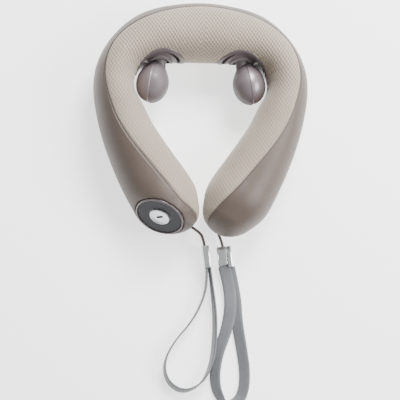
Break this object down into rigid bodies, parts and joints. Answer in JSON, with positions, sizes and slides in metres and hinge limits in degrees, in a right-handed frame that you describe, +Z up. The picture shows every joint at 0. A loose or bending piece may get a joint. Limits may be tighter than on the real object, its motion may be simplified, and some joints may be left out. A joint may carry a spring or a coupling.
{
  "type": "shiatsu neck massager",
  "caption": "Padded U-shaped neck massager with kneading heads turned by a worm drive, flexing arms, a control panel with a push button, and wrist straps to pull on.",
  "frame": {"origin": "centre of the padded body's bounding box, on the surface it lies on", "axes": "+Z up, the side worn up; +Y towards the back of the neck; +X to the right as seen from above"},
  "size_m": [0.2254, 0.4177, 0.066],
  "materials": {
    "cover_leather": "satin",
    "cover_knit": "matt knit",
    "foam": "matt",
    "shell_plastic": "matt",
    "heater_film": "matt",
    "bezel_plastic": "satin",
    "socket_plastic": "matt",
    "soft_rubber": "matt",
    "gearbox_plastic": "matt",
    "steel": "bright",
    "bronze": "plain",
    "worm_brass": "turned",
    "motor_can": "plated",
    "wheel_plastic": "moulded",
    "head_core": "satin",
    "head_gloss": "gloss",
    "panel_dark": "satin",
    "board_green": "satin",
    "switch_black": "matt",
    "button_metal": "spun",
    "cell_wrap": "wrapped",
    "cord_weave": "braided",
    "clip_metal": "bright",
    "strap_weave": "woven"
  },
  "bodies": {
    "rear": {"leather_rear": "cover_leather", "mesh_rear": "cover_knit", "foam_rear": "foam", "shell_rear_upper": "shell_plastic", "shell_rear_lower": "shell_plastic", "heater_film": "heater_film", "bezel_left": "bezel_plastic", "bezel_right": "bezel_plastic", "socket_left": "socket_plastic", "socket_right": "socket_plastic", "neck_seal_left": "soft_rubber", "neck_seal_right": "soft_rubber", "gearbox_front_left": "gearbox_plastic", "gearbox_front_right": "gearbox_plastic", "gearbox_rear_left": "gearbox_plastic", "gearbox_rear_right": "gearbox_plastic", "gearbox_screws": "steel", "shaft_bushes": "bronze", "drive_motor": "motor_can", "motor_mount": "shell_plastic", "hinge_pin_left": "steel", "hinge_pin_right": "steel", "hinge_spring_left": "steel", "hinge_spring_right": "steel"},
    "worm_drive": {"motor_shaft": "steel", "worms": "worm_brass"},
    "left_head": {"output_shaft_left": "steel", "worm_wheel_left": "wheel_plastic", "head_core_left": "head_core", "head_gores_left": "head_gloss"},
    "right_head": {"output_shaft_right": "steel", "worm_wheel_right": "wheel_plastic", "head_core_right": "head_core", "head_gores_right": "head_gloss"},
    "left_arm": {"leather_arm_left": "cover_leather", "mesh_arm_left": "cover_knit", "foam_arm_left": "foam", "shell_arm_left": "shell_plastic", "panel_ring": "bezel_plastic", "panel_face": "panel_dark", "control_board": "board_green", "button_switch": "switch_black", "cord_grommet_left": "soft_rubber", "cord_left": "cord_weave", "clip_left": "clip_metal", "strap_left": "strap_weave"},
    "button": {"power_button": "button_metal"},
    "right_arm": {"leather_arm_right": "cover_leather", "mesh_arm_right": "cover_knit", "foam_arm_right": "foam", "shell_arm_right": "shell_plastic", "battery_cells": "cell_wrap", "battery_tray": "shell_plastic", "charge_port": "steel", "cord_grommet_right": "soft_rubber", "cord_right": "cord_weave", "clip_right": "clip_metal", "strap_right": "strap_weave"}
  },
  "joints": [
    {"name": "left_head_spin", "type": "hinge", "parent": "rear", "child": "left_head", "pos_m": [-0.043, 0.0376, 0.032], "axis": [0, 1, 0], "continuous": true},
    {"name": "right_head_spin", "type": "hinge", "parent": "rear", "child": "right_head", "pos_m": [0.043, 0.0376, 0.032], "axis": [0, 1, 0], "continuous": true},
    {"name": "worm_spin", "type": "hinge", "parent": "rear", "child": "worm_drive", "pos_m": [0, 0.092, 0.0168], "axis": [1, 0, 0], "continuous": true},
    {"name": "left_arm_flex", "type": "hinge", "parent": "rear", "child": "left_arm", "pos_m": [-0.092, 0.0125, 0.032], "axis": [0, 0, -1], "range_deg": [0, 20], "stiffness_Nm_per_rad": 1.5},
    {"name": "right_arm_flex", "type": "hinge", "parent": "rear", "child": "right_arm", "pos_m": [0.092, 0.0125, 0.032], "axis": [0, 0, 1], "range_deg": [0, 20], "stiffness_Nm_per_rad": 1.5},
    {"name": "button_press", "type": "slide", "parent": "left_arm", "child": "button", "axis": [0.3495, 0.799, -0.4894], "range_m": [0, 0.0008], "stiffness_N_per_m": 2000}
  ],
  "couplings": [
    {"joint": "right_head_spin", "follows": "left_head_spin", "ratio": -1},
    {"joint": "worm_spin", "follows": "left_head_spin", "ratio": -22}
  ]
}
